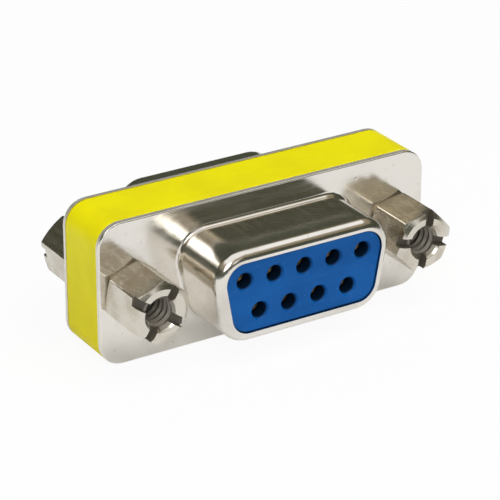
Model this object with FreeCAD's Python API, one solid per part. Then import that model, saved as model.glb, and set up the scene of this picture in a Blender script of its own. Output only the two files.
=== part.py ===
import FreeCAD, Part
import math
import os

from FreeCAD import Vector

# All sizes are in millimetres and all angles in degrees.
# X runs along the connector, -Y is the photographed front face and +Z is up.
# Every piece is modelled about the connector's centre line and lifted onto Z = 0 when it is saved.

# Contact positions; the narrow row always has one contact fewer than the wide row
CONTACT_PITCH = 2.77
ROW_SPACING = 2.84
WIDE_ROW_COUNT = 5

# Drawn D-shaped shell; both margins run from the outermost contact centres to its outside
SHELL_SIDE_MARGIN = 2.625
SHELL_ROW_MARGIN = 2.53
SHELL_CORNER_RADIUS = 2.5
SHELL_SIDE_ANGLE = 10.0
SHELL_REACH = 5.9
ROOT_RADIUS = 0.35
RIM_RADIUS = 0.85

# Flange plates and the moulded frame between them; the margins place the jacks and the plate's edges
JACK_OFFSET = 4.33
PLATE_END_MARGIN = 2.905
PLATE_EDGE_MARGIN = 2.2
PLATE_CORNER_RADIUS = 2.0
PLATE_EDGE_RADIUS = 0.12
SHEET_THICKNESS = 0.45
FRAME_DEPTH = 5.0
FRAME_EDGE_RADIUS = 0.15
WINDOW_CLEARANCE = 0.1

# Moulded insulator inside each shell
NOSE_CLEARANCE = 0.05
FACE_RECESS = 0.15
FACE_EDGE_RADIUS = 0.1
BASE_OVERHANG = 1.2
BASE_CORNER_RADIUS = 1.2
ENTRY_RADIUS = 0.83
ENTRY_DEPTH = 0.25
THROAT_RADIUS = 0.66
THROAT_LENGTH = 1.1
CHAMBER_DEPTH = 1.2
CHAMBER_MARGIN = 1.2
CHAMBER_CORNER_RADIUS = 0.6

# Rolled socket contact with a flat tail
BARREL_RADIUS = 0.78
BARREL_BORE_RADIUS = 0.52
BARREL_CLEARANCE = 0.06
BARREL_END_GAP = 0.1
BARREL_LEAD_IN = 0.12
TINE_LENGTH = 3.4
TINE_SLOT_WIDTH = 0.2
PLUG_LENGTH = 1.0
COLLAR_LENGTH = 0.7
COLLAR_CLEARANCE = 0.01
TAIL_WIDTH = 0.7
TAIL_THICKNESS = 0.25
TAIL_BEND_RADIUS = 0.2
TAIL_END_GAP = 0.35

# Hexagonal jacks and the threaded shank that joins the front pair to the rear pair
JACK_ACROSS_FLATS = 4.76
JACK_LENGTH = 4.8
JACK_END_RADIUS = 2.1
JACK_CHAMFER_ANGLE = 30.0
JACK_SLOT_WIDTH = 0.8
JACK_SLOT_DEPTH = 0.8
THREAD_RADIUS = 1.22
THREAD_LEAD_IN = 0.25
FRONT_BORE_DEPTH = 3.9
DRILL_POINT_ANGLE = 118.0
SHANK_RADIUS = 1.42
SHANK_ENGAGEMENT = 2.0
SHANK_THREAD_CLEARANCE = 0.02
SHANK_TIP_GAP = 0.05
SHANK_TIP_CHAMFER = 0.25
SHANK_HOLE_CLEARANCE = 0.13

# How each jack was left when tightened: its hexagon's turn from corner-up, and the direction of its slots
FRONT_LEFT_TURN = -7.6
FRONT_LEFT_SLOTS = 57.0
FRONT_RIGHT_TURN = -17.1
FRONT_RIGHT_SLOTS = 80.0
REAR_LEFT_TURN = 8.0
REAR_LEFT_SLOTS = 38.0
REAR_RIGHT_TURN = -5.0
REAR_RIGHT_SLOTS = 25.0

# How far a cutting tool runs past what it cuts, and how closely an edge is picked by its place
OVERRUN = 1.0
PICK_MARGIN = 0.01
PICK_TOLERANCE = 0.0001

# Places worked out from the sizes above
NARROW_ROW_COUNT = WIDE_ROW_COUNT - 1
SHELL_WIDTH = (WIDE_ROW_COUNT - 1) * CONTACT_PITCH + 2 * SHELL_SIDE_MARGIN
SHELL_HEIGHT = ROW_SPACING + 2 * SHELL_ROW_MARGIN
JACK_SPACING = SHELL_WIDTH + 2 * JACK_OFFSET
PLATE_LENGTH = JACK_SPACING + 2 * PLATE_END_MARGIN
PLATE_HEIGHT = SHELL_HEIGHT + 2 * PLATE_EDGE_MARGIN
FRAME_FACE = -FRAME_DEPTH / 2
PLATE_FACE = FRAME_FACE - SHEET_THICKNESS
SHELL_RIM = PLATE_FACE - SHELL_REACH
SHELL_SHOULDER = SHELL_RIM + SHEET_THICKNESS
INSULATOR_FACE = SHELL_RIM + FACE_RECESS
THROAT_END = INSULATOR_FACE + ENTRY_DEPTH + THROAT_LENGTH
CHAMBER_FLOOR = -CHAMBER_DEPTH
NOSE_INSET = SHEET_THICKNESS + NOSE_CLEARANCE
FACE_INSET = RIM_RADIUS + NOSE_CLEARANCE
BASE_LENGTH = SHELL_WIDTH - 2 * NOSE_INSET + 2 * BASE_OVERHANG
BASE_HEIGHT = SHELL_HEIGHT - 2 * NOSE_INSET + 2 * BASE_OVERHANG
SHANK_HOLE_RADIUS = SHANK_RADIUS + SHANK_HOLE_CLEARANCE
JACK_CORNER_RADIUS = JACK_ACROSS_FLATS / 2 / math.cos(math.radians(30))


def wire_face(edges):
    """Return the flat face inside a closed chain of edges."""
    return Part.Face(Part.Wire([edge.toShape() for edge in edges]))


def rounded_rectangle(length, height, corner, y):
    """Return a face in the plane Y = y, centred on the connector's axis."""
    x = length / 2
    z = height / 2
    diagonal = corner * (1 - math.sqrt(0.5))
    edges = []
    for sx, sz in ((1, 1), (1, -1), (-1, -1), (-1, 1)):
        on_end = Vector(sx * x, y, sz * (z - corner))
        on_corner = Vector(sx * (x - diagonal), y, sz * (z - diagonal))
        on_side = Vector(sx * (x - corner), y, sz * z)
        points = (on_side, on_corner, on_end) if sx == sz else (on_end, on_corner, on_side)
        edges.append(points)
    chain = []
    for index, points in enumerate(edges):
        following = edges[(index + 1) % len(edges)]
        chain.append(Part.Arc(*points))
        chain.append(Part.LineSegment(points[2], following[0]))
    return wire_face(chain)


def d_profile(inset, y):
    """Return the D-shaped face in the plane Y = y, wide side up, inset from the shell's outside."""
    radius = SHELL_CORNER_RADIUS - inset
    tilt = SHELL_SIDE_ANGLE
    upper_z = SHELL_HEIGHT / 2 - SHELL_CORNER_RADIUS
    upper_x = SHELL_WIDTH / 2 - SHELL_CORNER_RADIUS
    lower_x = upper_x - 2 * upper_z * math.tan(math.radians(tilt))

    def point(side, centre_x, centre_z, degrees):
        angle = math.radians(degrees)
        return Vector(side * (centre_x + radius * math.cos(angle)), y, centre_z + radius * math.sin(angle))

    def upper(side, degrees):
        return point(side, upper_x, upper_z, degrees)

    def lower(side, degrees):
        return point(side, lower_x, -upper_z, degrees)

    middle_up = (90 - tilt) / 2
    middle_down = (-90 - tilt) / 2
    return wire_face([
        Part.Arc(upper(1, 90), upper(1, middle_up), upper(1, -tilt)),
        Part.LineSegment(upper(1, -tilt), lower(1, -tilt)),
        Part.Arc(lower(1, -tilt), lower(1, middle_down), lower(1, -90)),
        Part.LineSegment(lower(1, -90), lower(-1, -90)),
        Part.Arc(lower(-1, -90), lower(-1, middle_down), lower(-1, -tilt)),
        Part.LineSegment(lower(-1, -tilt), upper(-1, -tilt)),
        Part.Arc(upper(-1, -tilt), upper(-1, middle_up), upper(-1, 90)),
        Part.LineSegment(upper(-1, 90), upper(1, 90)),
    ])


def along_y(face, depth):
    """Extrude a face along Y; a negative depth runs towards the front."""
    return face.extrude(Vector(0, depth, 0))


def turned(profile, x=0.0, z=0.0):
    """Revolve a list of (radius, y) points about an axis along Y through (x, z)."""
    points = [Vector(radius, y, 0) for radius, y in profile]
    points.append(points[0])
    face = Part.Face(Part.makePolygon(points))
    solid = face.revolve(Vector(0, 0, 0), Vector(0, 1, 0), 360)
    solid.translate(Vector(x, 0, z))
    return solid


def rod(radius, start, end, x=0.0, z=0.0):
    """Return a round rod along Y between two Y places."""
    return Part.makeCylinder(radius, end - start, Vector(x, start, z), Vector(0, 1, 0))


def edges_in_plane(solid, y, half_length, half_height):
    """Pick the edges that lie in the plane Y = y within a centred rectangle."""
    found = []
    for edge in solid.Edges:
        box = edge.BoundBox
        flat = max(abs(box.YMin - y), abs(box.YMax - y)) < PICK_TOLERANCE
        inside = max(-box.XMin, box.XMax) < half_length and max(-box.ZMin, box.ZMax) < half_height
        if flat and inside:
            found.append(edge)
    return found


def turned_over(solid):
    """Return the same piece turned half a turn about X, as the rear side uses it."""
    copy = solid.copy()
    copy.rotate(Vector(0, 0, 0), Vector(1, 0, 0), 180)
    return copy


def jack_places():
    """Return the X places of the two jacks, left first."""
    return (-JACK_SPACING / 2, JACK_SPACING / 2)


def contact_places():
    """Return the (x, z) place of each front contact, numbered from the wide row's right-hand end."""
    places = []
    for count, z in ((WIDE_ROW_COUNT, ROW_SPACING / 2), (NARROW_ROW_COUNT, -ROW_SPACING / 2)):
        for index in range(count):
            places.append((((count - 1) / 2 - index) * CONTACT_PITCH, z))
    return places


def flange_shell():
    """One sheet: a flange plate with the D-shaped shell drawn out of it and its rim turned in."""
    outline = rounded_rectangle(PLATE_LENGTH, PLATE_HEIGHT, PLATE_CORNER_RADIUS, PLATE_FACE)
    blank = along_y(outline, SHEET_THICKNESS)
    blank = blank.makeFillet(PLATE_EDGE_RADIUS, edges_in_plane(blank, PLATE_FACE, PLATE_LENGTH, PLATE_HEIGHT))
    drawn = along_y(d_profile(0, FRAME_FACE), SHELL_RIM - FRAME_FACE)
    solid = blank.fuse(drawn).removeSplitter()
    limit_x = SHELL_WIDTH / 2 + PICK_MARGIN
    limit_z = SHELL_HEIGHT / 2 + PICK_MARGIN
    solid = solid.makeFillet(RIM_RADIUS, edges_in_plane(solid, SHELL_RIM, limit_x, limit_z))
    solid = solid.makeFillet(ROOT_RADIUS, edges_in_plane(solid, PLATE_FACE, limit_x, limit_z))

    hollow = along_y(d_profile(SHEET_THICKNESS, FRAME_FACE), SHELL_SHOULDER - FRAME_FACE)
    shoulder = edges_in_plane(hollow, SHELL_SHOULDER, limit_x, limit_z)
    hollow = hollow.makeFillet(RIM_RADIUS - SHEET_THICKNESS, shoulder)
    mouth = along_y(d_profile(RIM_RADIUS, FRAME_FACE), SHELL_RIM - FRAME_FACE - OVERRUN)
    solid = solid.cut(hollow).cut(mouth)
    inner_root = edges_in_plane(solid, FRAME_FACE, limit_x, limit_z)
    solid = solid.makeFillet(ROOT_RADIUS + SHEET_THICKNESS, inner_root)

    for x in jack_places():
        solid = solid.cut(rod(SHANK_HOLE_RADIUS, PLATE_FACE - OVERRUN, FRAME_FACE + OVERRUN, x))
    return solid


def body_frame():
    """Moulded ring that keeps the two flange plates apart, with a window and two screw holes."""
    outline = rounded_rectangle(PLATE_LENGTH, PLATE_HEIGHT, PLATE_CORNER_RADIUS, FRAME_FACE)
    block = along_y(outline, FRAME_DEPTH)
    rims = edges_in_plane(block, FRAME_FACE, PLATE_LENGTH, PLATE_HEIGHT)
    rims += edges_in_plane(block, -FRAME_FACE, PLATE_LENGTH, PLATE_HEIGHT)
    block = block.makeFillet(FRAME_EDGE_RADIUS, rims)
    window = rounded_rectangle(
        BASE_LENGTH + 2 * WINDOW_CLEARANCE,
        BASE_HEIGHT + 2 * WINDOW_CLEARANCE,
        BASE_CORNER_RADIUS + WINDOW_CLEARANCE,
        FRAME_FACE - OVERRUN,
    )
    block = block.cut(along_y(window, FRAME_DEPTH + 2 * OVERRUN))
    for x in jack_places():
        block = block.cut(rod(SHANK_HOLE_RADIUS, FRAME_FACE - OVERRUN, -FRAME_FACE + OVERRUN, x))
    return block


def insulator():
    """Moulded block: a base behind the plate, a D-shaped nose and one stepped cavity per contact."""
    face = along_y(d_profile(FACE_INSET, SHELL_SHOULDER), INSULATOR_FACE - SHELL_SHOULDER)
    front_edges = edges_in_plane(face, INSULATOR_FACE, SHELL_WIDTH, SHELL_HEIGHT)
    face = face.makeFillet(FACE_EDGE_RADIUS, front_edges)
    nose = along_y(d_profile(NOSE_INSET, FRAME_FACE), SHELL_SHOULDER + NOSE_CLEARANCE - FRAME_FACE)
    nose_front = edges_in_plane(nose, SHELL_SHOULDER + NOSE_CLEARANCE, SHELL_WIDTH, SHELL_HEIGHT)
    nose = nose.makeChamfer(RIM_RADIUS - SHEET_THICKNESS, nose_front)
    face = face.fuse(along_y(d_profile(FACE_INSET, SHELL_SHOULDER), 2 * NOSE_CLEARANCE))
    base = along_y(rounded_rectangle(BASE_LENGTH, BASE_HEIGHT, BASE_CORNER_RADIUS, FRAME_FACE), -FRAME_FACE)
    solid = base.fuse([nose, face]).removeSplitter()

    chamber = rounded_rectangle(
        (WIDE_ROW_COUNT - 1) * CONTACT_PITCH + 2 * CHAMBER_MARGIN,
        ROW_SPACING + 2 * CHAMBER_MARGIN,
        CHAMBER_CORNER_RADIUS,
        CHAMBER_FLOOR,
    )
    solid = solid.cut(along_y(chamber, CHAMBER_DEPTH + OVERRUN))
    cavity_radius = BARREL_RADIUS + BARREL_CLEARANCE
    throat_start = INSULATOR_FACE + ENTRY_DEPTH
    profile = [
        (0, INSULATOR_FACE),
        (ENTRY_RADIUS, INSULATOR_FACE),
        (THROAT_RADIUS, throat_start),
        (THROAT_RADIUS, THROAT_END),
        (cavity_radius, THROAT_END),
        (cavity_radius, CHAMBER_FLOOR),
        (0, CHAMBER_FLOOR),
    ]
    cavities = [turned(profile, x, z) for x, z in contact_places()]
    return solid.cut(cavities)


def contact_tail(x, z):
    """Flat strip that leaves the barrel, bends towards mid-height and lies along the middle plane."""
    towards = -1 if z > 0 else 1
    start = CHAMBER_FLOOR - PLUG_LENGTH / 2
    outer = TAIL_BEND_RADIUS + TAIL_THICKNESS
    far = -z - towards * -TAIL_END_GAP
    inner_z = z + towards * TAIL_THICKNESS / 2
    outer_z = z - towards * TAIL_THICKNESS / 2
    centre_y = -outer
    centre_z = outer_z + towards * outer
    side = x - TAIL_WIDTH / 2
    half = math.sqrt(0.5)

    def place(y, height):
        return Vector(side, y, height)

    strip = wire_face([
        Part.LineSegment(place(start, outer_z), place(centre_y, outer_z)),
        Part.Arc(
            place(centre_y, outer_z),
            place(centre_y + outer * half, centre_z - towards * outer * half),
            place(0, centre_z),
        ),
        Part.LineSegment(place(0, centre_z), place(0, far)),
        Part.LineSegment(place(0, far), place(-TAIL_THICKNESS, far)),
        Part.LineSegment(place(-TAIL_THICKNESS, far), place(-TAIL_THICKNESS, centre_z)),
        Part.Arc(
            place(-TAIL_THICKNESS, centre_z),
            place(centre_y + TAIL_BEND_RADIUS * half, centre_z - towards * TAIL_BEND_RADIUS * half),
            place(centre_y, inner_z),
        ),
        Part.LineSegment(place(centre_y, inner_z), place(start, inner_z)),
        Part.LineSegment(place(start, inner_z), place(start, outer_z)),
    ])
    return strip.extrude(Vector(TAIL_WIDTH, 0, 0))


def socket_contact(x, z):
    """Rolled socket with two spring tines, a locking collar, a crimped rear end and a flat tail."""
    front = THROAT_END + BARREL_END_GAP
    rear = CHAMBER_FLOOR
    bottom = rear - PLUG_LENGTH
    collar_radius = BARREL_RADIUS + BARREL_CLEARANCE - COLLAR_CLEARANCE
    collar_front = bottom - COLLAR_LENGTH
    barrel = turned([
        (BARREL_BORE_RADIUS + BARREL_LEAD_IN, front),
        (BARREL_RADIUS - BARREL_LEAD_IN, front),
        (BARREL_RADIUS, front + BARREL_LEAD_IN),
        (BARREL_RADIUS, collar_front),
        (collar_radius, bottom),
        (collar_radius, rear),
        (0, rear),
        (0, bottom),
        (BARREL_BORE_RADIUS, bottom),
        (BARREL_BORE_RADIUS, front + BARREL_LEAD_IN),
    ], x, z)
    slot = Part.makeBox(
        TINE_SLOT_WIDTH,
        TINE_LENGTH + OVERRUN,
        2 * (BARREL_RADIUS + OVERRUN),
        Vector(x - TINE_SLOT_WIDTH / 2, front - OVERRUN, z - BARREL_RADIUS - OVERRUN),
    )
    return barrel.cut(slot).fuse(contact_tail(x, z)).removeSplitter()


def hexagon(length, turn):
    """Return a hexagonal bar along -Y from Y = 0, turned from corner-up."""
    points = []
    for corner in range(7):
        angle = math.radians(90 + turn + 60 * corner)
        points.append(Vector(JACK_CORNER_RADIUS * math.cos(angle), 0, JACK_CORNER_RADIUS * math.sin(angle)))
    return along_y(Part.Face(Part.makePolygon(points)), -length)


def jack_body(turn, slots):
    """Hexagonal jack along -Y from Y = 0, chamfered at both ends, its open end cut by two crossed slots."""
    full = JACK_CORNER_RADIUS + OVERRUN
    slope = (full - JACK_END_RADIUS) * math.tan(math.radians(JACK_CHAMFER_ANGLE))
    envelope = turned([
        (0, 0),
        (JACK_END_RADIUS, 0),
        (full, -slope),
        (full, slope - JACK_LENGTH),
        (JACK_END_RADIUS, -JACK_LENGTH),
        (0, -JACK_LENGTH),
    ])
    body = hexagon(JACK_LENGTH, turn).common(envelope)
    for quarter in range(2):
        slot = Part.makeBox(
            2 * full,
            JACK_SLOT_DEPTH + OVERRUN,
            JACK_SLOT_WIDTH,
            Vector(-full, -JACK_LENGTH - OVERRUN, -JACK_SLOT_WIDTH / 2),
        )
        slot.rotate(Vector(0, 0, 0), Vector(0, -1, 0), slots + 90 * quarter)
        body = body.cut(slot)
    return body


def bore(depth):
    """Drilled hole with a lead-in at its mouth, running in +Y from the jack's open end."""
    mouth = -JACK_LENGTH
    end = mouth + depth
    point = THREAD_RADIUS / math.tan(math.radians(DRILL_POINT_ANGLE / 2))
    return turned([
        (0, mouth - OVERRUN),
        (THREAD_RADIUS + THREAD_LEAD_IN + OVERRUN, mouth - OVERRUN),
        (THREAD_RADIUS, mouth + THREAD_LEAD_IN),
        (THREAD_RADIUS, end),
        (0, end + point),
    ])


def front_jack(x, turn, slots):
    """Front jack: a hexagonal head with a blind threaded hole, and a shank that passes to the rear jack."""
    head = jack_body(turn, slots).cut(bore(FRONT_BORE_DEPTH))
    tip = FRAME_DEPTH + 2 * SHEET_THICKNESS + SHANK_ENGAGEMENT
    shank = turned([
        (0, 0),
        (SHANK_RADIUS, 0),
        (SHANK_RADIUS, tip - SHANK_TIP_CHAMFER),
        (SHANK_RADIUS - SHANK_TIP_CHAMFER, tip),
        (0, tip),
    ])
    solid = head.fuse(shank).removeSplitter()
    solid.translate(Vector(x, PLATE_FACE, 0))
    return solid


def rear_jack(x, turn, slots):
    """Rear jack: a hexagonal nut threaded right through and screwed onto the front jack's shank."""
    engaged = rod(SHANK_RADIUS + SHANK_THREAD_CLEARANCE, -SHANK_ENGAGEMENT - SHANK_TIP_GAP, OVERRUN)
    solid = jack_body(turn, slots).cut(bore(JACK_LENGTH + OVERRUN)).cut(engaged)
    solid.rotate(Vector(0, 0, 0), Vector(1, 0, 0), 180)
    solid.translate(Vector(x, -PLATE_FACE, 0))
    return solid


def all_pieces():
    """Return every piece by its node name."""
    shell = flange_shell()
    moulding = insulator()
    pieces = {
        "front_shell": shell,
        "rear_shell": turned_over(shell),
        "body_frame": body_frame(),
        "front_insulator": moulding,
        "rear_insulator": turned_over(moulding),
    }
    for number, (x, z) in enumerate(contact_places(), start=1):
        contact = socket_contact(x, z)
        pieces[f"front_contact_{number}"] = contact
        pieces[f"rear_contact_{number}"] = turned_over(contact)
    left, right = jack_places()
    pieces["front_left_jack"] = front_jack(left, FRONT_LEFT_TURN, FRONT_LEFT_SLOTS)
    pieces["front_right_jack"] = front_jack(right, FRONT_RIGHT_TURN, FRONT_RIGHT_SLOTS)
    pieces["rear_left_jack"] = rear_jack(left, REAR_LEFT_TURN, REAR_LEFT_SLOTS)
    pieces["rear_right_jack"] = rear_jack(right, REAR_RIGHT_TURN, REAR_RIGHT_SLOTS)
    return pieces


def main():
    """Build every piece, stand it on Z = 0 and save it."""
    os.makedirs("parts", exist_ok=True)
    for name, shape in all_pieces().items():
        shape.translate(Vector(0, 0, PLATE_HEIGHT / 2))
        shape.exportStep(f"parts/{name}.step")
        print(f"{name}: solids {len(shape.Solids)}, volume {shape.Volume:.3f}, valid {shape.isValid()}")


main()
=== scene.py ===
import logging
import math
from dataclasses import dataclass
from enum import Enum

import bmesh
import bpy
from mathutils import Matrix, Vector


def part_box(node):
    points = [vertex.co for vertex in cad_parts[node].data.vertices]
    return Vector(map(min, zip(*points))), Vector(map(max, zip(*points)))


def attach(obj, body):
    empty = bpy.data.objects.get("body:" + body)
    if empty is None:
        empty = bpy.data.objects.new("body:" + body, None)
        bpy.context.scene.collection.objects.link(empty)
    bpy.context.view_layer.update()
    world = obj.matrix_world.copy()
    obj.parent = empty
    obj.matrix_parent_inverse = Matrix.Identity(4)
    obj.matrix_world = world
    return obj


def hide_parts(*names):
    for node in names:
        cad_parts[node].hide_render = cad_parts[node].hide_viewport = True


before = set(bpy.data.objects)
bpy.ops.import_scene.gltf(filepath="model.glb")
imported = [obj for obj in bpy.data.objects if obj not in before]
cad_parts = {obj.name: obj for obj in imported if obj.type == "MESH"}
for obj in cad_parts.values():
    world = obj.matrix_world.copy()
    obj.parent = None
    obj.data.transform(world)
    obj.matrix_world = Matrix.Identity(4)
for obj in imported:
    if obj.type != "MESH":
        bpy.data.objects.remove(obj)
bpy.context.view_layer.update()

LOG = logging.getLogger("gender_changer")

# Pieces are modelled in millimetres about the connector's centre line and stored in metres
MILLIMETRE = 0.001
CENTRE_HEIGHT = sum(corner.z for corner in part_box("body_frame")) / 2 / MILLIMETRE

# Mesh attribute that says how much grime and painted shade a face of a jack takes, from 0 outside
# to 1 on the bore's wall
RECESS = "recess"

# Half the angle that one flat of a hexagon spans
HALF_FLAT = math.radians(30)

# Most of a profile's side that one rounded corner may take up
ROUNDING_SHARE = 0.45

# Points of a swept mesh that lie closer than this, in millimetres, are one point
MERGE_DISTANCE = 1e-5

# Edges that bend by more than this stay sharp where a piece is shaded smooth
SHARP_ANGLE = math.radians(32)

Socket = bpy.types.NodeSocket
Triple = tuple[float, float, float]
Colour = Triple
Profile = list[tuple[float, float]]


class Side(Enum):
    """The two faces of the adapter; the rear one is the front one turned half a turn about X."""

    FRONT = "front"
    REAR = "rear"

    def placement(self) -> Matrix:
        """Return the matrix from a side's own millimetres to the row frame in metres."""
        turn = Matrix.Rotation(math.pi if self is Side.REAR else 0.0, 4, "X")
        return Matrix.Scale(MILLIMETRE, 4) @ Matrix.Translation((0, 0, CENTRE_HEIGHT)) @ turn


class Bore(Enum):
    """How a jack is drilled: closed behind its thread, or right through."""

    BLIND = "blind"
    THROUGH = "through"


class FinishGraph:
    """Builds one material's node tree on top of its Principled shader."""

    def __init__(self, name: str) -> None:
        """Start a material.

        Args:
            name: The material's name, after the finish it stands for.
        """
        self.material = bpy.data.materials.new(name)
        self.material.use_nodes = True
        self.tree = self.material.node_tree
        self.shader = self.tree.nodes["Principled BSDF"]
        self.place = self.tree.nodes.new("ShaderNodeTexCoord").outputs["Object"]

    def link(self, source: Socket, target: Socket) -> None:
        """Join two sockets."""
        self.tree.links.new(source, target)

    def fixed(self, **values: float) -> None:
        """Set constant inputs of the shader.

        Args:
            **values: A number for each input, named in small letters with underscores for spaces.
        """
        for name, value in values.items():
            label = name.replace("_", " ").title().replace("Ior", "IOR")
            self.shader.inputs[label].default_value = value

    def stretched(self, stretch: Triple, centre: Triple = (0.0, 0.0, 0.0)) -> Socket:
        """Return coordinates stretched about a centre.

        Args:
            stretch: How often a pattern repeats along each axis, against its own scale.
            centre: The point that the pattern is centred on, in metres.

        Returns:
            The vector socket.
        """
        node = self.tree.nodes.new("ShaderNodeMapping")
        node.inputs["Scale"].default_value = stretch
        node.inputs["Location"].default_value = [-c * s for c, s in zip(centre, stretch)]
        self.link(self.place, node.inputs["Vector"])
        return node.outputs["Vector"]

    def noise(
        self, scale: float, vector: Socket | None = None, detail: float = 3.0, rough: float = 0.55
    ) -> Socket:
        """Return fractal noise.

        Args:
            scale: Features per metre.
            vector: Where to read it, or None for the object's own coordinates.
            detail: Number of octaves.
            rough: How strong the fine octaves are.

        Returns:
            The factor socket, from 0 to 1.
        """
        node = self.tree.nodes.new("ShaderNodeTexNoise")
        node.inputs["Scale"].default_value = scale
        node.inputs["Detail"].default_value = detail
        node.inputs["Roughness"].default_value = rough
        self.link(vector or self.place, node.inputs["Vector"])
        return node.outputs["Fac"]

    def pits(self, scale: float, vector: Socket | None = None) -> Socket:
        """Return the distance to the nearest of a scatter of points.

        Args:
            scale: Points per metre.
            vector: Where to read it, or None for the object's own coordinates.

        Returns:
            The distance socket, in the points' own spacing.
        """
        node = self.tree.nodes.new("ShaderNodeTexVoronoi")
        node.inputs["Scale"].default_value = scale
        self.link(vector or self.place, node.inputs["Vector"])
        return node.outputs["Distance"]

    def maths(self, operation: str, first: Socket | float, second: Socket | float = 0.0) -> Socket:
        """Do one arithmetic operation.

        Args:
            operation: Blender's name for it.
            first: A number or a socket.
            second: A number or a socket.

        Returns:
            The result's socket.
        """
        node = self.tree.nodes.new("ShaderNodeMath")
        node.operation = operation
        for value, target in zip((first, second), node.inputs):
            if isinstance(value, float):
                target.default_value = value
            else:
                self.link(value, target)
        return node.outputs["Value"]

    def times(self, first: Socket | float, second: Socket | float) -> Socket:
        """Return the product of two values or sockets."""
        return self.maths("MULTIPLY", first, second)

    def plus(self, first: Socket | float, second: Socket | float) -> Socket:
        """Return the sum of two values or sockets."""
        return self.maths("ADD", first, second)

    def remap(
        self, value: Socket, low: float, high: float, to_low: float, to_high: float
    ) -> Socket:
        """Move a value smoothly from one range to another and hold it at the ends.

        Args:
            value: The value's socket.
            low: Where the first range starts.
            high: Where the first range ends.
            to_low: The result at the start.
            to_high: The result at the end.

        Returns:
            The result's socket.
        """
        node = self.tree.nodes.new("ShaderNodeMapRange")
        node.interpolation_type = "SMOOTHSTEP"
        for target, number in zip(node.inputs[1:5], (low, high, to_low, to_high)):
            target.default_value = number
        self.link(value, node.inputs["Value"])
        return node.outputs["Result"]

    def blend(self, factor: Socket, first: Colour | Socket, second: Colour | Socket) -> Socket:
        """Return a colour between two others.

        Args:
            factor: 0 for the first colour and 1 for the second.
            first: A colour or a colour socket.
            second: A colour or a colour socket.

        Returns:
            The colour socket.
        """
        node = self.tree.nodes.new("ShaderNodeMix")
        node.data_type = "RGBA"
        self.link(factor, node.inputs["Factor"])
        for value, letter in ((first, "A"), (second, "B")):
            target = next(s for s in node.inputs if s.name == letter and s.type == "RGBA")
            if isinstance(value, tuple):
                target.default_value = (*value, 1.0)
            else:
                self.link(value, target)
        return next(s for s in node.outputs if s.type == "RGBA")

    def axis(self, letter: str, vector: Socket | None = None) -> Socket:
        """Split off one coordinate.

        Args:
            letter: X, Y or Z.
            vector: The vector to read, or None for the object's own coordinates.

        Returns:
            The coordinate's socket.
        """
        node = self.tree.nodes.new("ShaderNodeSeparateXYZ")
        self.link(vector or self.place, node.inputs[0])
        return node.outputs[letter]

    def length(self, vector: Socket) -> Socket:
        """Measure a vector.

        Args:
            vector: The vector's socket.

        Returns:
            The length's socket.
        """
        node = self.tree.nodes.new("ShaderNodeVectorMath")
        node.operation = "LENGTH"
        self.link(vector, node.inputs[0])
        return node.outputs["Value"]

    def attribute(self, name: str) -> Socket:
        """Read a mesh attribute.

        Args:
            name: The attribute's name.

        Returns:
            The attribute's socket, as one number.
        """
        node = self.tree.nodes.new("ShaderNodeAttribute")
        node.attribute_name = name
        return node.outputs["Fac"]

    def facing(self, letter: str) -> Socket:
        """Return how far the surface faces along one axis, from 0 to 1 on either side."""
        normal = self.tree.nodes.new("ShaderNodeNewGeometry").outputs["Normal"]
        return self.maths("ABSOLUTE", self.axis(letter, normal))

    def finish(
        self, colour: Socket, roughness: Socket, relief: Socket, depth: float
    ) -> bpy.types.Material:
        """Join the patterns to the shader.

        Args:
            colour: Base colour.
            roughness: Roughness.
            relief: Height pattern.
            depth: Height of the relief in millimetres.

        Returns:
            The finished material.
        """
        bump = self.tree.nodes.new("ShaderNodeBump")
        bump.inputs["Distance"].default_value = depth * MILLIMETRE
        bump.inputs["Strength"].default_value = 1.0
        self.link(relief, bump.inputs["Height"])
        self.link(colour, self.shader.inputs["Base Color"])
        self.link(roughness, self.shader.inputs["Roughness"])
        self.link(bump.outputs["Normal"], self.shader.inputs["Normal"])
        return self.material


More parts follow.
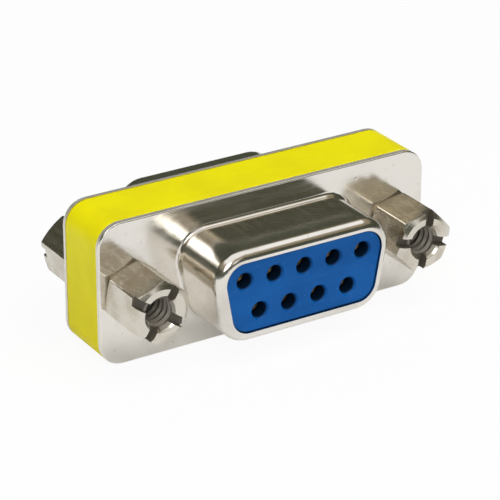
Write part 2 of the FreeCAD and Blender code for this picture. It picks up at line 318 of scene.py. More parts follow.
@dataclass(frozen=True)
class NickelSheet:
    """Bright nickel on drawn steel: draw lines on the shell, a rolled grain and dull sheared edges.

    The plates' sides are sheared as far out as the edge line, which is measured from the adapter's
    middle. In every finish a scale is in features per metre, and other lengths are in millimetres.
    """

    bright: Colour = (0.86, 0.825, 0.765)
    stained: Colour = (0.60, 0.565, 0.50)
    cloud_scale: float = 220.0
    draw_scale: float = 2600.0
    draw_stretch: Triple = (1.0, 0.06, 1.0)
    roll_scale: float = 1500.0
    roll_stretch: Triple = (0.12, 1.0, 1.0)
    speck_scale: float = 900.0
    smoothest: float = 0.10
    dullest: float = 0.22
    edge_line: float = 2.83
    edge_blur: float = 0.04
    edge_metal: float = 0.75
    edge_dulling: float = 0.3
    relief: float = 0.004

    def material(self, name: str) -> bpy.types.Material:
        """Make the finish.

        Args:
            name: The material's name.

        Returns:
            The finished material.
        """
        graph = FinishGraph(name)
        cloud = graph.noise(self.cloud_scale, detail=4.0)
        along_draw, along_roll = map(graph.stretched, (self.draw_stretch, self.roll_stretch))
        drawn = graph.noise(self.draw_scale, along_draw, detail=4.0, rough=0.7)
        rolled = graph.noise(self.roll_scale, along_roll, detail=3.0, rough=0.65)
        specks = graph.remap(graph.pits(self.speck_scale), 0.05, 0.16, 1.0, 0.0)
        wall = graph.remap(graph.facing("Y"), 0.2, 0.6, 1.0, 0.0)
        plate = graph.maths("SUBTRACT", 1.0, wall)
        grain = graph.plus(graph.times(drawn, wall), graph.times(rolled, plate))
        tint = graph.plus(graph.remap(cloud, 0.45, 0.75, 0.0, 0.5), graph.times(specks, 0.35))
        colour = graph.blend(tint, self.bright, self.stained)
        worn = graph.plus(graph.times(grain, 0.6), graph.times(cloud, 0.4))
        reach = graph.maths("ABSOLUTE", graph.axis("Y"))
        line = self.edge_line * MILLIMETRE
        nearer = (self.edge_line - self.edge_blur) * MILLIMETRE
        sheared = graph.times(wall, graph.remap(reach, nearer, line, 1.0, 0.0))
        metal = graph.remap(sheared, 0.0, 1.0, 1.0, self.edge_metal)
        graph.link(metal, graph.shader.inputs["Metallic"])
        polish = graph.remap(worn, 0.3, 0.7, self.smoothest, self.dullest)
        roughness = graph.plus(polish, graph.times(sheared, self.edge_dulling))
        height = graph.maths("SUBTRACT", grain, graph.times(specks, 0.8))
        return graph.finish(colour, roughness, height, self.relief)


@dataclass(frozen=True)
class NickelJack:
    """Nickel on turned hexagon bar: rings on the end, streaks on the flats, grime and painted shade
    in the bore and slots.
    """

    centre: float
    bright: Colour = (0.73, 0.685, 0.60)
    stained: Colour = (0.54, 0.48, 0.38)
    # Dark colour of the bore and slots, partly grime and partly painted shade of these recesses
    grime_and_shade: Colour = (0.10, 0.083, 0.060)
    ring_scale: float = 9000.0
    streak_scale: float = 2200.0
    streak_stretch: Triple = (1.0, 0.08, 1.0)
    cloud_scale: float = 420.0
    smoothest: float = 0.18
    dullest: float = 0.36
    grime_and_shade_metal: float = 0.25
    grime_and_shade_dulling: float = 0.3
    relief: float = 0.006

    def material(self, name: str) -> bpy.types.Material:
        """Make the finish, with its rings centred on the jack's axis.

        Args:
            name: The material's name.

        Returns:
            The finished material.
        """
        graph = FinishGraph(name)
        centre = (self.centre * MILLIMETRE, 0.0, CENTRE_HEIGHT * MILLIMETRE)
        local = graph.stretched((1.0, 1.0, 1.0), centre)
        x, z = graph.axis("X", local), graph.axis("Z", local)
        radius = graph.maths("SQRT", graph.plus(graph.times(x, x), graph.times(z, z)))
        ring = graph.tree.nodes.new("ShaderNodeCombineXYZ")
        graph.link(radius, ring.inputs["X"])
        rings = graph.noise(self.ring_scale, ring.outputs["Vector"], detail=2.0)
        along = graph.stretched(self.streak_stretch)
        streaks = graph.noise(self.streak_scale, along, detail=4.0, rough=0.7)
        cloud = graph.noise(self.cloud_scale, detail=4.0)
        end = graph.remap(graph.facing("Y"), 0.5, 0.9, 0.0, 1.0)
        flats = graph.maths("SUBTRACT", 1.0, end)
        grain = graph.plus(graph.times(rings, end), graph.times(streaks, flats))
        tint = graph.remap(cloud, 0.42, 0.72, 0.0, 0.7)
        clean = graph.blend(tint, self.bright, self.stained)
        # Painted shade: faces in the bore and slots blend towards a dark, less metallic finish,
        # standing partly for grime and partly for the shade in these recesses
        recess = graph.attribute(RECESS)
        colour = graph.blend(recess, clean, self.grime_and_shade)
        metal = graph.remap(recess, 0.0, 1.0, 1.0, self.grime_and_shade_metal)
        graph.link(metal, graph.shader.inputs["Metallic"])
        worn = graph.plus(grain, cloud)
        polish = graph.remap(worn, 0.7, 1.3, self.smoothest, self.dullest)
        roughness = graph.plus(polish, graph.times(recess, self.grime_and_shade_dulling))
        return graph.finish(colour, roughness, grain, self.relief)


@dataclass(frozen=True)
class YellowMoulding:
    """Semi-gloss yellow moulding: a faint grain, handling marks and paler scuffs near its edges."""

    clear: Colour = (0.96, 0.87, 0.001)
    shade: Colour = (0.86, 0.76, 0.001)
    scuffed: Colour = (0.95, 0.88, 0.05)
    cloud_scale: float = 160.0
    grain_scale: float = 5200.0
    rub_scale: float = 1300.0
    rub_stretch: Triple = (0.15, 1.0, 1.0)
    half_depth: float = 2.5
    scuff_width: float = 0.5
    smoothest: float = 0.27
    dullest: float = 0.44
    relief: float = 0.003

    def material(self, name: str) -> bpy.types.Material:
        """Make the finish.

        Args:
            name: The material's name.

        Returns:
            The finished material.
        """
        graph = FinishGraph(name)
        graph.fixed(metallic=0.0, ior=1.47, specular_ior_level=0.12)
        cloud = graph.noise(self.cloud_scale, detail=3.0)
        grain = graph.noise(self.grain_scale, detail=2.0)
        rubs = graph.noise(self.rub_scale, graph.stretched(self.rub_stretch), detail=4.0, rough=0.7)
        reach = graph.maths("ABSOLUTE", graph.axis("Y"))
        inner = (self.half_depth - self.scuff_width) * MILLIMETRE
        rim = graph.remap(reach, inner, self.half_depth * MILLIMETRE, 0.0, 1.0)
        scuffs = graph.times(rim, graph.remap(rubs, 0.5, 0.68, 0.0, 0.6))
        base = graph.blend(graph.remap(cloud, 0.35, 0.7, 0.0, 1.0), self.clear, self.shade)
        colour = graph.blend(scuffs, base, self.scuffed)
        worn = graph.plus(rubs, cloud)
        roughness = graph.remap(worn, 0.7, 1.25, self.smoothest, self.dullest)
        height = graph.plus(grain, graph.times(rubs, 0.5))
        return graph.finish(colour, roughness, height, self.relief)


@dataclass(frozen=True)
class BlueMoulding:
    """Satin blue moulding with a fine grain, slight flow marks, a little pale dust and painted
    shade in its contact entries.
    """

    clear: Colour = (0.003, 0.100, 0.36)
    deep: Colour = (0.002, 0.078, 0.29)
    dust: Colour = (0.08, 0.18, 0.40)
    shaded: Colour = (0.002, 0.014, 0.035)
    flow_scale: float = 420.0
    flow_stretch: Triple = (0.4, 1.0, 1.0)
    grain_scale: float = 4200.0
    speck_scale: float = 1500.0
    face: float = 8.64
    entry_depth: float = 0.25
    smoothest: float = 0.38
    dullest: float = 0.55
    relief: float = 0.004

    def material(self, name: str) -> bpy.types.Material:
        """Make the finish.

        Args:
            name: The material's name.

        Returns:
            The finished material.
        """
        graph = FinishGraph(name)
        graph.fixed(metallic=0.0, ior=1.5, specular_ior_level=0.14)
        flow = graph.noise(self.flow_scale, graph.stretched(self.flow_stretch), detail=3.0)
        grain = graph.noise(self.grain_scale, detail=3.0)
        specks = graph.remap(graph.pits(self.speck_scale), 0.06, 0.14, 0.35, 0.0)
        base = graph.blend(graph.remap(flow, 0.35, 0.7, 0.0, 1.0), self.clear, self.deep)
        reach = graph.maths("ABSOLUTE", graph.axis("Y"))
        face, floor = self.face * MILLIMETRE, (self.face - self.entry_depth) * MILLIMETRE
        # Painted shade: the contact entries darken towards the shaded colour with depth below the
        # face
        sunk = graph.remap(reach, floor, face, 1.0, 0.0)
        colour = graph.blend(sunk, graph.blend(specks, base, self.dust), self.shaded)
        worn = graph.plus(grain, flow)
        roughness = graph.remap(worn, 0.7, 1.3, self.smoothest, self.dullest)
        return graph.finish(colour, roughness, grain, self.relief)


@dataclass(frozen=True)
class ContactPlate:
    """Dull plated spring bronze, its colours kept dark as painted shade of the contacts deep in the
    entries, and darker in random patches of tarnish.
    """

    # Both colours are far darker than clean plating: painted shade of the contacts inside the
    # entries
    clear: Colour = (0.40, 0.29, 0.14)
    tarnished: Colour = (0.17, 0.115, 0.055)
    cloud_scale: float = 900.0
    line_scale: float = 5000.0
    line_stretch: Triple = (1.0, 0.1, 1.0)
    smoothest: float = 0.3
    dullest: float = 0.5
    relief: float = 0.003

    def material(self, name: str) -> bpy.types.Material:
        """Make the finish.

        Args:
            name: The material's name.

        Returns:
            The finished material.
        """
        graph = FinishGraph(name)
        graph.fixed(metallic=1.0)
        cloud = graph.noise(self.cloud_scale, detail=4.0)
        lines = graph.noise(self.line_scale, graph.stretched(self.line_stretch), detail=3.0)
        colour = graph.blend(graph.remap(cloud, 0.4, 0.65, 0.0, 1.0), self.clear, self.tarnished)
        worn = graph.plus(lines, cloud)
        roughness = graph.remap(worn, 0.7, 1.3, self.smoothest, self.dullest)
        return graph.finish(colour, roughness, lines, self.relief)


def placed_object(
    name: str, mesh: bpy.types.Mesh, material: bpy.types.Material
) -> bpy.types.Object:
    """Link a finished mesh as an unturned object at the origin.

    Args:
        name: The piece's name.
        mesh: Its mesh, in the row frame.
        material: Its only material.

    Returns:
        The new object.
    """
    mesh.materials.clear()
    mesh.materials.append(material)
    piece = bpy.data.objects.new(name, mesh)
    bpy.context.scene.collection.objects.link(piece)
    return piece


def settled(source: bpy.types.Object, name: str) -> bpy.types.Mesh:
    """Turn an object with live modifiers into a plain mesh and delete the object.

    Args:
        source: The object to evaluate.
        name: The new mesh's name.

    Returns:
        The plain mesh, in the object's own coordinates.
    """
    bpy.context.view_layer.update()
    graph = bpy.context.evaluated_depsgraph_get()
    mesh = bpy.data.meshes.new_from_object(source.evaluated_get(graph), depsgraph=graph)
    discard(source)
    mesh.name = name
    return mesh


def discard(item: bpy.types.Object) -> None:
    """Delete an object together with its mesh.

    Args:
        item: The object.
    """
    mesh = item.data
    bpy.data.objects.remove(item)
    bpy.data.meshes.remove(mesh)


def box_mesh(name: str, size: Vector, centre: Vector, turn: float) -> bpy.types.Mesh:
    """Return a box turned about the connector's depth.

    Args:
        name: The mesh's name.
        size: Its length along X, Y and Z before it is turned.
        centre: Its middle.
        turn: Angle from +X towards +Z, in degrees.

    Returns:
        The mesh.
    """
    shape = bmesh.new()
    bmesh.ops.create_cube(shape, size=1.0)
    turned = Matrix.Rotation(math.radians(-turn), 4, "Y")
    matrix = Matrix.Translation(centre) @ turned @ Matrix.Diagonal((*size, 1.0))
    bmesh.ops.transform(shape, matrix=matrix, verts=shape.verts)
    bmesh.ops.recalc_face_normals(shape, faces=shape.faces)
    mesh = bpy.data.meshes.new(name)
    shape.to_mesh(mesh)
    shape.free()
    return mesh


def rounded_profile(points: list[tuple[float, float, float]], steps: int = 3) -> Profile:
    """Round the corners of an open profile.

    Args:
        points: Radius, place along Y and corner radius of each point; 0 keeps a corner as it is.
        steps: Segments in each rounded corner.

    Returns:
        The profile's points, always the same number for the same pattern of rounded corners.
    """
    result: Profile = []
    for index, (radius, y, corner) in enumerate(points):
        if corner == 0.0:
            result.append((radius, y))
            continue
        here = Vector((radius, y))
        before = Vector(points[index - 1][:2]) - here
        after = Vector(points[index + 1][:2]) - here
        half = before.angle(after) / 2
        longest = ROUNDING_SHARE * min(before.length, after.length)
        reach = min(corner / math.tan(half), longest)
        first = here + before.normalized() * reach
        last = here + after.normalized() * reach
        for step in range(steps + 1):
            t = step / steps
            curve = first * (1 - t) ** 2 + here * 2 * t * (1 - t) + last * t ** 2
            result.append((curve.x, curve.y))
    return result


@dataclass
class BoreThread:
    """Internal thread of one jack: a ridge that winds along the bore, made with Geometry Nodes."""

    start: float
    length: float
    pitch: float = 0.635
    root_radius: float = 1.33
    crest_radius: float = 1.09
    foot_width: float = 0.48
    crest_width: float = 0.12
    segments_per_turn: int = 48

    def tree(self) -> bpy.types.NodeTree:
        """Build the node tree: a spiral along Z swept by a trapezoid, its sizes as named inputs.

        Returns:
            The Geometry Nodes tree.
        """
        tree = bpy.data.node_groups.new("winding_thread", "GeometryNodeTree")
        tree.interface.new_socket("Geometry", in_out="OUTPUT", socket_type="NodeSocketGeometry")
        inputs = {
            "Turns": "Float", "Pitch": "Float", "Ridge Radius": "Float", "Ridge Height": "Float",
            "Foot Width": "Float", "Crest Width": "Float", "Resolution": "Int",
            "Finish": "Material",
        }
        for name, kind in inputs.items():
            tree.interface.new_socket(name, in_out="INPUT", socket_type=f"NodeSocket{kind}")
        given = tree.nodes.new("NodeGroupInput").outputs
        rise = tree.nodes.new("ShaderNodeMath")
        rise.operation = "MULTIPLY"
        spiral = tree.nodes.new("GeometryNodeCurveSpiral")
        upright = tree.nodes.new("GeometryNodeSetCurveNormal")
        upright.mode = "Z_UP"
        section = tree.nodes.new("GeometryNodeCurvePrimitiveQuadrilateral")
        section.mode = "TRAPEZOID"
        section.inputs["Offset"].default_value = 0.0
        inward = tree.nodes.new("GeometryNodeTransform")
        inward.inputs["Rotation"].default_value = (0.0, 0.0, -math.pi / 2)
        sweep = tree.nodes.new("GeometryNodeCurveToMesh")
        sweep.inputs["Fill Caps"].default_value = True
        realize = tree.nodes.new("GeometryNodeRealizeInstances")
        finish = tree.nodes.new("GeometryNodeSetMaterial")
        out = tree.nodes.new("NodeGroupOutput").inputs
        joins = (
            (given["Turns"], rise.inputs[0]),
            (given["Pitch"], rise.inputs[1]),
            (given["Resolution"], spiral.inputs["Resolution"]),
            (given["Turns"], spiral.inputs["Rotations"]),
            (given["Ridge Radius"], spiral.inputs["Start Radius"]),
            (given["Ridge Radius"], spiral.inputs["End Radius"]),
            (rise.outputs[0], spiral.inputs["Height"]),
            (spiral.outputs["Curve"], upright.inputs["Curve"]),
            (given["Foot Width"], section.inputs["Bottom Width"]),
            (given["Crest Width"], section.inputs["Top Width"]),
            (given["Ridge Height"], section.inputs["Height"]),
            (upright.outputs["Curve"], sweep.inputs["Curve"]),
            (section.outputs["Curve"], inward.inputs["Geometry"]),
            (inward.outputs[0], sweep.inputs["Profile Curve"]),
            (sweep.outputs["Mesh"], realize.inputs["Geometry"]),
            (realize.outputs["Geometry"], finish.inputs["Geometry"]),
            (given["Finish"], finish.inputs["Material"]),
            (finish.outputs["Geometry"], out["Geometry"]),
        )
        for source, target in joins:
            tree.links.new(source, target)
        return tree

    def mesh(self, name: str, material: bpy.types.Material) -> bpy.types.Mesh:
        """Wind the ridge along -Y from its start, in the jack's own millimetres.

        Args:
            name: The mesh's name.
            material: Its finish.

        Returns:
            The plain mesh.
        """
        holder = bpy.data.objects.new(name, bpy.data.meshes.new(name))
        bpy.context.scene.collection.objects.link(holder)
        modifier = holder.modifiers.new("thread", "NODES")
        modifier.node_group = self.tree()
        sizes = {
            "Turns": self.length / self.pitch, "Pitch": self.pitch,
            "Ridge Radius": (self.root_radius + self.crest_radius) / 2,
            "Ridge Height": self.root_radius - self.crest_radius,
            "Foot Width": self.foot_width, "Crest Width": self.crest_width,
            "Resolution": self.segments_per_turn, "Finish": material,
        }
        for item in modifier.node_group.interface.items_tree:
            if item.in_out == "INPUT":
                modifier[item.identifier] = sizes[item.name]
        mesh = settled(holder, name)
        lying = Matrix.Rotation(math.pi / 2, 4, "X")
        mesh.transform(Matrix.Translation((0, self.start, 0)) @ lying)
        shape = bmesh.new()
        shape.from_mesh(mesh)
        bmesh.ops.recalc_face_normals(shape, faces=shape.faces)
        shape.to_mesh(mesh)
        shape.free()
        return mesh


@dataclass
class HexJack:
    """Hexagonal jack: chamfered corners, cross-slotted end, threaded bore and, in front, a shank.

    Sizes are in millimetres and angles in degrees, seen from the jack's open end.
    """

    side: Side
    hand: str
    bore: Bore
    turn: float
    slots: float
    across_flats: float = 4.76
    corner_radius: float = 0.16
    length: float = 4.8
    end_radius: float = 2.1
    chamfer: float = 30.0
    slot_width: float = 0.8
    slot_depth: float = 0.8
    mouth_radius: float = 1.56
    wall_radius: float = 1.31
    bore_depth: float = 3.9
    shank_radius: float = 1.42
    shank_reach: float = 7.9
    engaged_depth: float = 2.05
    tip_chamfer: float = 0.25
    drill_point: float = 0.6
    thread_gap: float = 0.05
    thread_shortfall: float = 0.3
    edge_radius: float = 0.05
    flat_steps: int = 10
    corner_steps: int = 6
    # Marks of grime and painted shade for the slots, the bore's wall and the thread
    slot_grime_and_shade: float = 0.96
    wall_grime_and_shade: float = 1.0
    thread_grime_and_shade: float = 0.72

    def __post_init__(self) -> None:
        """Take the jack's axis and seat from the box of its CAD node."""
        low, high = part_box(self.name)
        self.centre = (low.x + high.x) / 2 / MILLIMETRE
        self.seat = max(-low.y, high.y) / MILLIMETRE - self.length

    @property
    def name(self) -> str:
        """The CAD node that this jack stands for."""
        return f"{self.side.value}_{self.hand}_jack"

    def slot_angles(self) -> tuple[float, float]:
        """Return the angles of the two crossed slots."""
        return self.slots, self.slots + 90

    def columns(self) -> list[tuple[float, float]]:
        """Divide the rounded hexagon into columns.

        Returns:
            The angle in radians and the outside radius of each column.
        """
        flat, corner_radius = self.across_flats / 2, self.corner_radius
        centre = (flat - corner_radius) / math.cos(HALF_FLAT)
        tangent = math.atan2((flat - corner_radius) * math.tan(HALF_FLAT), flat)
        swing = HALF_FLAT - tangent
        result = []
        for corner in range(6):
            middle = math.radians(90 + self.turn + 60 * corner)
            for step in range(self.corner_steps + 1):
                off = swing * (2 * step / self.corner_steps - 1)
                beyond = math.sqrt(corner_radius ** 2 - (centre * math.sin(off)) ** 2)
                result.append((middle + off, centre * math.cos(off) + beyond))
            for step in range(1, self.flat_steps):
                off = tangent * (2 * step / self.flat_steps - 1)
                result.append((middle + HALF_FLAT + off, flat / math.cos(off)))
        return result

    def profile(self, outside: float) -> Profile:
        """Return one column's profile from the shank or seat, over the outside, to the bore.

        Args:
            outside: The hexagon's radius at this column.

        Returns:
            Radius and place along Y of each point; the open end is at negative Y.
        """
        drop = (outside - self.end_radius) * math.tan(math.radians(self.chamfer))
        edge = self.edge_radius
        end = -self.length
        hexagon = [
            (self.end_radius, 0.0, 0.0),
            (outside, -drop, edge),
            (outside, end + drop, edge),
            (self.end_radius, end, edge),
            (self.mouth_radius, end, edge),
            (self.wall_radius, end + self.mouth_radius - self.wall_radius, 0.0),
        ]
        if self.bore is Bore.THROUGH:
            seat = self.shank_radius
            inner = [(seat, -self.engaged_depth, 0.0), (seat, 0.0, 0.0)]
            return rounded_profile([*inner, *hexagon, (self.wall_radius, -self.engaged_depth, 0.0)])
        reach, chamfer = self.shank_reach, self.tip_chamfer
        shank = [
            (0.0, reach, 0.0),
            (self.shank_radius - chamfer, reach, 0.0),
            (self.shank_radius, reach - chamfer, 0.0),
            (self.shank_radius, 0.0, 0.0),
        ]
        bottom = end + self.bore_depth
        point = bottom + self.wall_radius * self.drill_point
        tail = [(self.wall_radius, bottom, 0.0), (0.0, point, 0.0)]
        return rounded_profile([*shank, *hexagon, *tail])

    def body(self) -> bpy.types.Mesh:
        """Sweep the profile round the hexagon, without its slots.

        Returns:
            The closed mesh, in the jack's own millimetres.
        """
        shape = bmesh.new()
        loops = []
        for angle, outside in self.columns():
            x, z = math.cos(angle), math.sin(angle)
            loops.append([shape.verts.new((r * x, y, r * z)) for r, y in self.profile(outside)])
        closed = self.bore is Bore.THROUGH
        rows = len(loops[0])
        for index, column in enumerate(loops):
            following = loops[(index + 1) % len(loops)]
            for row in range(rows if closed else rows - 1):
                below = (row + 1) % rows
                shape.faces.new((column[row], column[below], following[below], following[row]))
        bmesh.ops.remove_doubles(shape, verts=shape.verts, dist=MERGE_DISTANCE)
        bmesh.ops.recalc_face_normals(shape, faces=shape.faces)
        mesh = bpy.data.meshes.new(f"{self.name}_turned")
        shape.to_mesh(mesh)
        shape.free()
        return mesh

    def cut_slots(self, mesh: bpy.types.Mesh) -> bpy.types.Mesh:
        """Cut the two crossed slots out of a mesh.

        Args:
            mesh: The jack's body or its thread, in the jack's own millimetres.

        Returns:
            The cut mesh.
        """
        holder = bpy.data.objects.new("blank", mesh)
        bpy.context.scene.collection.objects.link(holder)
        cutters = []
        # A cutter is centred on the end face, so half of its depth cuts, and it outreaches the head
        size = Vector((3 * self.across_flats, 2 * self.slot_depth, self.slot_width))
        for turn in self.slot_angles():
            cutter_mesh = box_mesh("slot", size, Vector((0, -self.length, 0)), turn)
            cutter = bpy.data.objects.new("slot", cutter_mesh)
            bpy.context.scene.collection.objects.link(cutter)
            cutters.append(cutter)
            modifier = holder.modifiers.new("slot", "BOOLEAN")
            modifier.operation = "DIFFERENCE"
            modifier.solver = "EXACT"
            modifier.object = cutter
        result = settled(holder, mesh.name)
        for cutter in cutters:
            discard(cutter)
        return result

    def mark_recesses(self, mesh: bpy.types.Mesh, bore_grime_and_shade: float) -> None:
        """Store how much grime and painted shade each face of a cut mesh takes.

        Args:
            mesh: The jack's body or its thread, in the jack's own millimetres.
            bore_grime_and_shade: The mark for faces in the bore.
        """
        marks = mesh.attributes.new(RECESS, "FLOAT", "FACE")
        close = 0.02
        for face in mesh.polygons:
            x, y, z = face.center
            in_bore = math.hypot(x, z) < self.wall_radius + close and y < 0
            in_slot = False
            for turn in self.slot_angles():
                angle = math.radians(turn)
                across = abs(z * math.cos(angle) - x * math.sin(angle))
                in_slot |= across < self.slot_width / 2 + close
            below_end = -self.length + close < y < -self.length + self.slot_depth + close
            if in_bore:
                marks.data[face.index].value = bore_grime_and_shade
            elif in_slot and below_end:
                marks.data[face.index].value = self.slot_grime_and_shade

    def smoothed(self, mesh: bpy.types.Mesh) -> bpy.types.Mesh:
        """Shade a mesh smooth with its real edges sharp and its flats flat.

        Args:
            mesh: The cut mesh.

        Returns:
            The shaded mesh.
        """
        mesh.shade_smooth()
        mesh.set_sharp_from_angle(angle=SHARP_ANGLE)
        holder = bpy.data.objects.new("smooth", mesh)
        bpy.context.scene.collection.objects.link(holder)
        modifier = holder.modifiers.new("weights", "WEIGHTED_NORMAL")
        modifier.keep_sharp = True
        return settled(holder, mesh.name)

    def place(self, mesh: bpy.types.Mesh) -> None:
        """Move a mesh from the jack's own millimetres to its place in the row frame."""
        local = Matrix.Translation((self.centre, -self.seat, 0))
        mesh.transform(self.side.placement() @ local)

    def build(self, material: bpy.types.Material) -> list[bpy.types.Object]:
        """Build the jack and its thread.

        Args:
            material: The jack's finish.

        Returns:
            The jack first, then its thread.
        """
        jack = self.cut_slots(self.body())
        self.mark_recesses(jack, self.wall_grime_and_shade)
        jack = self.smoothed(jack)
        depth = self.bore_depth if self.bore is Bore.BLIND else self.length - self.engaged_depth
        lead_in = self.mouth_radius - self.wall_radius
        free = depth - lead_in - self.thread_shortfall
        thread = BoreThread(start=-self.length + lead_in + self.thread_gap + free, length=free)
        ridge = self.cut_slots(thread.mesh(f"{self.name}_thread", material))
        self.mark_recesses(ridge, self.thread_grime_and_shade)
        ridge = self.smoothed(ridge)
        pieces = []
        for mesh in (jack, ridge):
            self.place(mesh)
            piece = placed_object(mesh.name, mesh, material)
            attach(piece, "root")
            pieces.append(piece)
        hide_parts(self.name)
        return pieces


@dataclass
class DressedNodes:
    """CAD nodes whose shape is already the real one and which only need their finish."""

    names: tuple[str, ...]
    material: bpy.types.Material

    def dress(self) -> None:
        """Put the finish on every material slot of every node."""
        for name in self.names:
            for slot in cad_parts[name].material_slots:
                slot.material = self.material
            LOG.info("dressed %s in %s", name, self.material.name)


@dataclass(frozen=True)
class PhotoCamera:
    """The photograph's camera, fitted to the connector's standard sizes.

    Angles are in degrees, distances in millimetres, and the nearest and farthest view in metres.
    """

    azimuth: float = -31.992
    elevation: float = 25.327
    roll: float = 0.143
    focal_pixels: float = 2520.77
    distance: float = 206.894
    right_offset: float = -0.2624
    up_offset: float = 0.6265
    frame_pixels: float = 500.0
    sensor: float = 36.0
    nearest: float = 0.01
    farthest: float = 20.0

    def build(self) -> bpy.types.Object:
        """Create the camera and make it the scene's camera.

        Returns:
            The camera.
        """
        degrees = (self.azimuth, self.elevation, self.roll)
        azimuth, elevation, roll = map(math.radians, degrees)
        level = math.cos(elevation)
        back = Vector((math.sin(azimuth) * level, -math.cos(azimuth) * level, math.sin(elevation)))
        across = Vector((0, 0, 1)).cross(back).normalized()
        upward = back.cross(across)
        right = math.cos(roll) * across + math.sin(roll) * upward
        up = math.cos(roll) * upward - math.sin(roll) * across
        place = back * self.distance - right * self.right_offset - up * self.up_offset
        data = bpy.data.cameras.new("photo_camera")
        data.sensor_width = self.sensor
        data.lens = self.focal_pixels * self.sensor / self.frame_pixels
        data.clip_start = self.nearest
        data.clip_end = self.farthest
        camera = bpy.data.objects.new("photo_camera", data)
        matrix = Matrix((right, up, back)).transposed().to_4x4()
        matrix.translation = (place + Vector((0, 0, CENTRE_HEIGHT))) * MILLIMETRE
        camera.matrix_world = matrix
        bpy.context.scene.collection.objects.link(camera)
        bpy.context.scene.camera = camera
        return camera


@dataclass(frozen=True)
class SoftLamp:
    """A square area lamp that looks at the connector; places and size are in metres."""

    name: str
    place: Triple
    size: float
    power: float
    shows_in_metal: bool

    def build(self) -> bpy.types.Object:
        """Create the lamp.

        Returns:
            The lamp.
        """
        data = bpy.data.lights.new(self.name, "AREA")
        data.size = self.size
        data.energy = self.power
        lamp = bpy.data.objects.new(self.name, data)
        lamp.location = self.place
        lamp.rotation_euler = Vector(self.place).to_track_quat("Z", "Y").to_euler()
        lamp.visible_glossy = self.shows_in_metal
        bpy.context.scene.collection.objects.link(lamp)
        return lamp


def seen_directly(
    tree: bpy.types.NodeTree, to_camera: float = 1.0, in_metal: float = 1.0
) -> Socket:
    """Return a factor for what is seen directly, and 0 for what only lights the object.

    Args:
        tree: The node tree to build in.
        to_camera: The factor for camera rays.
        in_metal: The factor for glossy and transmission rays.

    Returns:
        The factor's socket.
    """
    path = tree.nodes.new("ShaderNodeLightPath")
    levels = {
        "Is Camera Ray": to_camera,
        "Is Glossy Ray": in_metal,
        "Is Transmission Ray": in_metal,
    }
    total = None
    for name, level in levels.items():
        scaled = tree.nodes.new("ShaderNodeMath")
        scaled.operation = "MULTIPLY"
        scaled.inputs[1].default_value = level
        tree.links.new(path.outputs[name], scaled.inputs[0])
        if total is None:
            total = scaled.outputs[0]
            continue
        larger = tree.nodes.new("ShaderNodeMath")
        larger.operation = "MAXIMUM"
        tree.links.new(total, larger.inputs[0])
        tree.links.new(scaled.outputs[0], larger.inputs[1])
        total = larger.outputs[0]
    return total


@dataclass(frozen=True)
class WallPatch:
    """A soft round patch of light on the room's wall, seen at two angles in degrees.

    It is full within the first reach and gone beyond the second, in metres.
    """

    azimuth: float
    elevation: float
    reach: tuple[float, float]
    colour: Colour


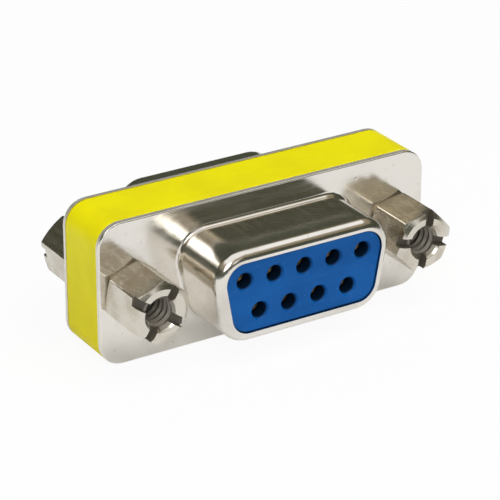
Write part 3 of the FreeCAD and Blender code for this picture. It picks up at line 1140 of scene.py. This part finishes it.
@dataclass(frozen=True)
class Studio:
    """Pale floor, soft lamps, a plain world and the dim room that the bright metal reflects.

    Sizes are in metres. The room's foot and top and its rises are elevations in degrees, and its
    fade is a share of its radius, towards the rear.
    """

    floor_size: float = 6.0
    floor_colour: Colour = (0.90, 0.90, 0.90)
    floor_glow: float = 0.93
    floor_glow_in_metal: float = 0.2
    ambient: float = 0.35
    room_radius: float = 1.2
    room_sides: int = 64
    room_foot: float = 2.0
    room_top: float = 65.0
    warm_rise: tuple[float, float] = (29.0, 38.0)
    white_rise: tuple[float, float] = (49.0, 55.0)
    rear_fade: tuple[float, float] = (0.5, 0.9)
    room_dim: Colour = (0.068, 0.074, 0.052)
    room_warm: Colour = (0.30, 0.25, 0.17)
    room_white: Colour = (1.0, 1.0, 1.0)
    patches: tuple[WallPatch, ...] = (
        WallPatch(23.0, 36.0, (0.06, 0.17), (0.90, 0.82, 0.62)),
        WallPatch(8.0, 27.0, (0.13, 0.27), (1.0, 1.0, 1.0)),
    )
    lamps: tuple[SoftLamp, ...] = (
        SoftLamp("key", (0.05, -0.25, 0.55), 0.5, 2.2, shows_in_metal=False),
        SoftLamp("fill", (-0.24, -0.40, 0.335), 0.25, 0.7, shows_in_metal=True),
    )

    def floor(self) -> None:
        """Lay the floor, which is paler where it is seen directly and keeps the shadow."""
        half = self.floor_size / 2
        mesh = bpy.data.meshes.new("floor")
        corners = [(-half, -half, 0), (half, -half, 0), (half, half, 0), (-half, half, 0)]
        mesh.from_pydata(corners, [], [(0, 1, 2, 3)])
        material = bpy.data.materials.new("pale_floor")
        material.use_nodes = True
        tree = material.node_tree
        tree.nodes.clear()
        paint = tree.nodes.new("ShaderNodeBsdfDiffuse")
        paint.inputs["Color"].default_value = (*self.floor_colour, 1.0)
        glow = tree.nodes.new("ShaderNodeEmission")
        mix = tree.nodes.new("ShaderNodeMixShader")
        out = tree.nodes.new("ShaderNodeOutputMaterial")
        direct = seen_directly(tree, self.floor_glow, self.floor_glow_in_metal)
        tree.links.new(direct, mix.inputs["Fac"])
        tree.links.new(paint.outputs[0], mix.inputs[1])
        tree.links.new(glow.outputs[0], mix.inputs[2])
        tree.links.new(mix.outputs[0], out.inputs["Surface"])
        placed_object("floor", mesh, material)

    def room_height(self, elevation: float) -> float:
        """Return the height on the room's wall that shows at an elevation in degrees."""
        return self.room_radius * math.tan(math.radians(elevation))

    def middle_of(self, patch: WallPatch) -> Triple:
        """Return the place of a patch's middle on the room's wall.

        Args:
            patch: The patch of light.

        Returns:
            The place in metres.
        """
        azimuth = math.radians(patch.azimuth)
        across, ahead = math.sin(azimuth), -math.cos(azimuth)
        height = self.room_height(patch.elevation)
        return self.room_radius * across, self.room_radius * ahead, height

    def room(self) -> None:
        """Stand a dim wall all round, which shows in the metal alone."""
        low, high = self.room_height(self.room_foot), self.room_height(self.room_top)
        count, radius = self.room_sides, self.room_radius
        angles = [math.tau * i / count for i in range(count)]
        ring = [(radius * math.cos(a), radius * math.sin(a)) for a in angles]
        points = [(x, y, z) for z in (low, high) for x, y in ring]
        faces = [(i, (i + 1) % count, (i + 1) % count + count, i + count) for i in range(count)]
        mesh = bpy.data.meshes.new("dim_room")
        mesh.from_pydata(points, [], faces)
        graph = FinishGraph("dim_room")
        height = graph.axis("Z")
        fade = (share * radius for share in self.rear_fade)
        ahead = graph.remap(graph.axis("Y"), *fade, 1.0, 0.0)
        warm, white = (
            graph.times(ahead, graph.remap(height, *map(self.room_height, rise), 0.0, 1.0))
            for rise in (self.warm_rise, self.white_rise)
        )
        warmed = graph.blend(warm, self.room_dim, self.room_warm)
        colour = graph.blend(white, warmed, self.room_white)
        for patch in self.patches:
            distance = graph.length(graph.stretched((1.0, 1.0, 1.0), self.middle_of(patch)))
            share = graph.remap(distance, *patch.reach, 1.0, 0.0)
            colour = graph.blend(share, colour, patch.colour)
        emission = graph.tree.nodes.new("ShaderNodeEmission")
        graph.link(colour, emission.inputs["Color"])
        graph.link(emission.outputs[0], graph.tree.nodes["Material Output"].inputs["Surface"])
        wall = placed_object("dim_room", mesh, graph.material)
        wall.visible_camera = False
        wall.visible_diffuse = False
        wall.visible_shadow = False

    def world(self) -> None:
        """Light the scene evenly from all round, on a background that shows as white."""
        world = bpy.data.worlds.new("studio")
        world.use_nodes = True
        tree = world.node_tree
        background = tree.nodes["Background"]
        level = tree.nodes.new("ShaderNodeMapRange")
        level.inputs["To Min"].default_value = self.ambient
        tree.links.new(seen_directly(tree), level.inputs["Value"])
        tree.links.new(level.outputs["Result"], background.inputs["Strength"])
        background.inputs["Color"].default_value = (1.0, 1.0, 1.0, 1.0)
        bpy.context.scene.world = world

    def build(self) -> None:
        """Build the whole studio round the connector."""
        self.floor()
        self.room()
        self.world()
        for lamp in self.lamps:
            LOG.info("lit the %s lamp", lamp.build().name)
        bpy.context.scene.view_settings.view_transform = "Standard"


def main() -> None:
    """Build, dress and light the adapter, and log each piece."""
    logging.basicConfig(level=logging.INFO, format="%(message)s")
    numbers = range(1, 10)
    contacts = tuple(f"{side.value}_contact_{number}" for side in Side for number in numbers)
    dressings = (
        (("front_shell", "rear_shell"), NickelSheet().material("nickel_on_drawn_sheet")),
        (("body_frame",), YellowMoulding().material("yellow_frame_moulding")),
        (("front_insulator", "rear_insulator"), BlueMoulding().material("blue_insulator_moulding")),
        (contacts, ContactPlate().material("plated_contact_strip")),
    )
    for names, material in dressings:
        DressedNodes(names, material).dress()
    jacks = (
        HexJack(Side.FRONT, "left", Bore.BLIND, turn=-7.6, slots=57.0),
        HexJack(Side.FRONT, "right", Bore.BLIND, turn=-17.1, slots=80.0),
        HexJack(Side.REAR, "left", Bore.THROUGH, turn=-13.0, slots=88.0),
        HexJack(Side.REAR, "right", Bore.THROUGH, turn=-5.0, slots=25.0),
    )
    for jack in jacks:
        material = NickelJack(jack.centre).material(f"nickel_on_{jack.name}")
        for piece in jack.build(material):
            LOG.info("built %s with %d faces", piece.name, len(piece.data.polygons))
    Studio().build()
    LOG.info("placed %s", PhotoCamera().build().name)


if __name__ == "__main__":
    main()
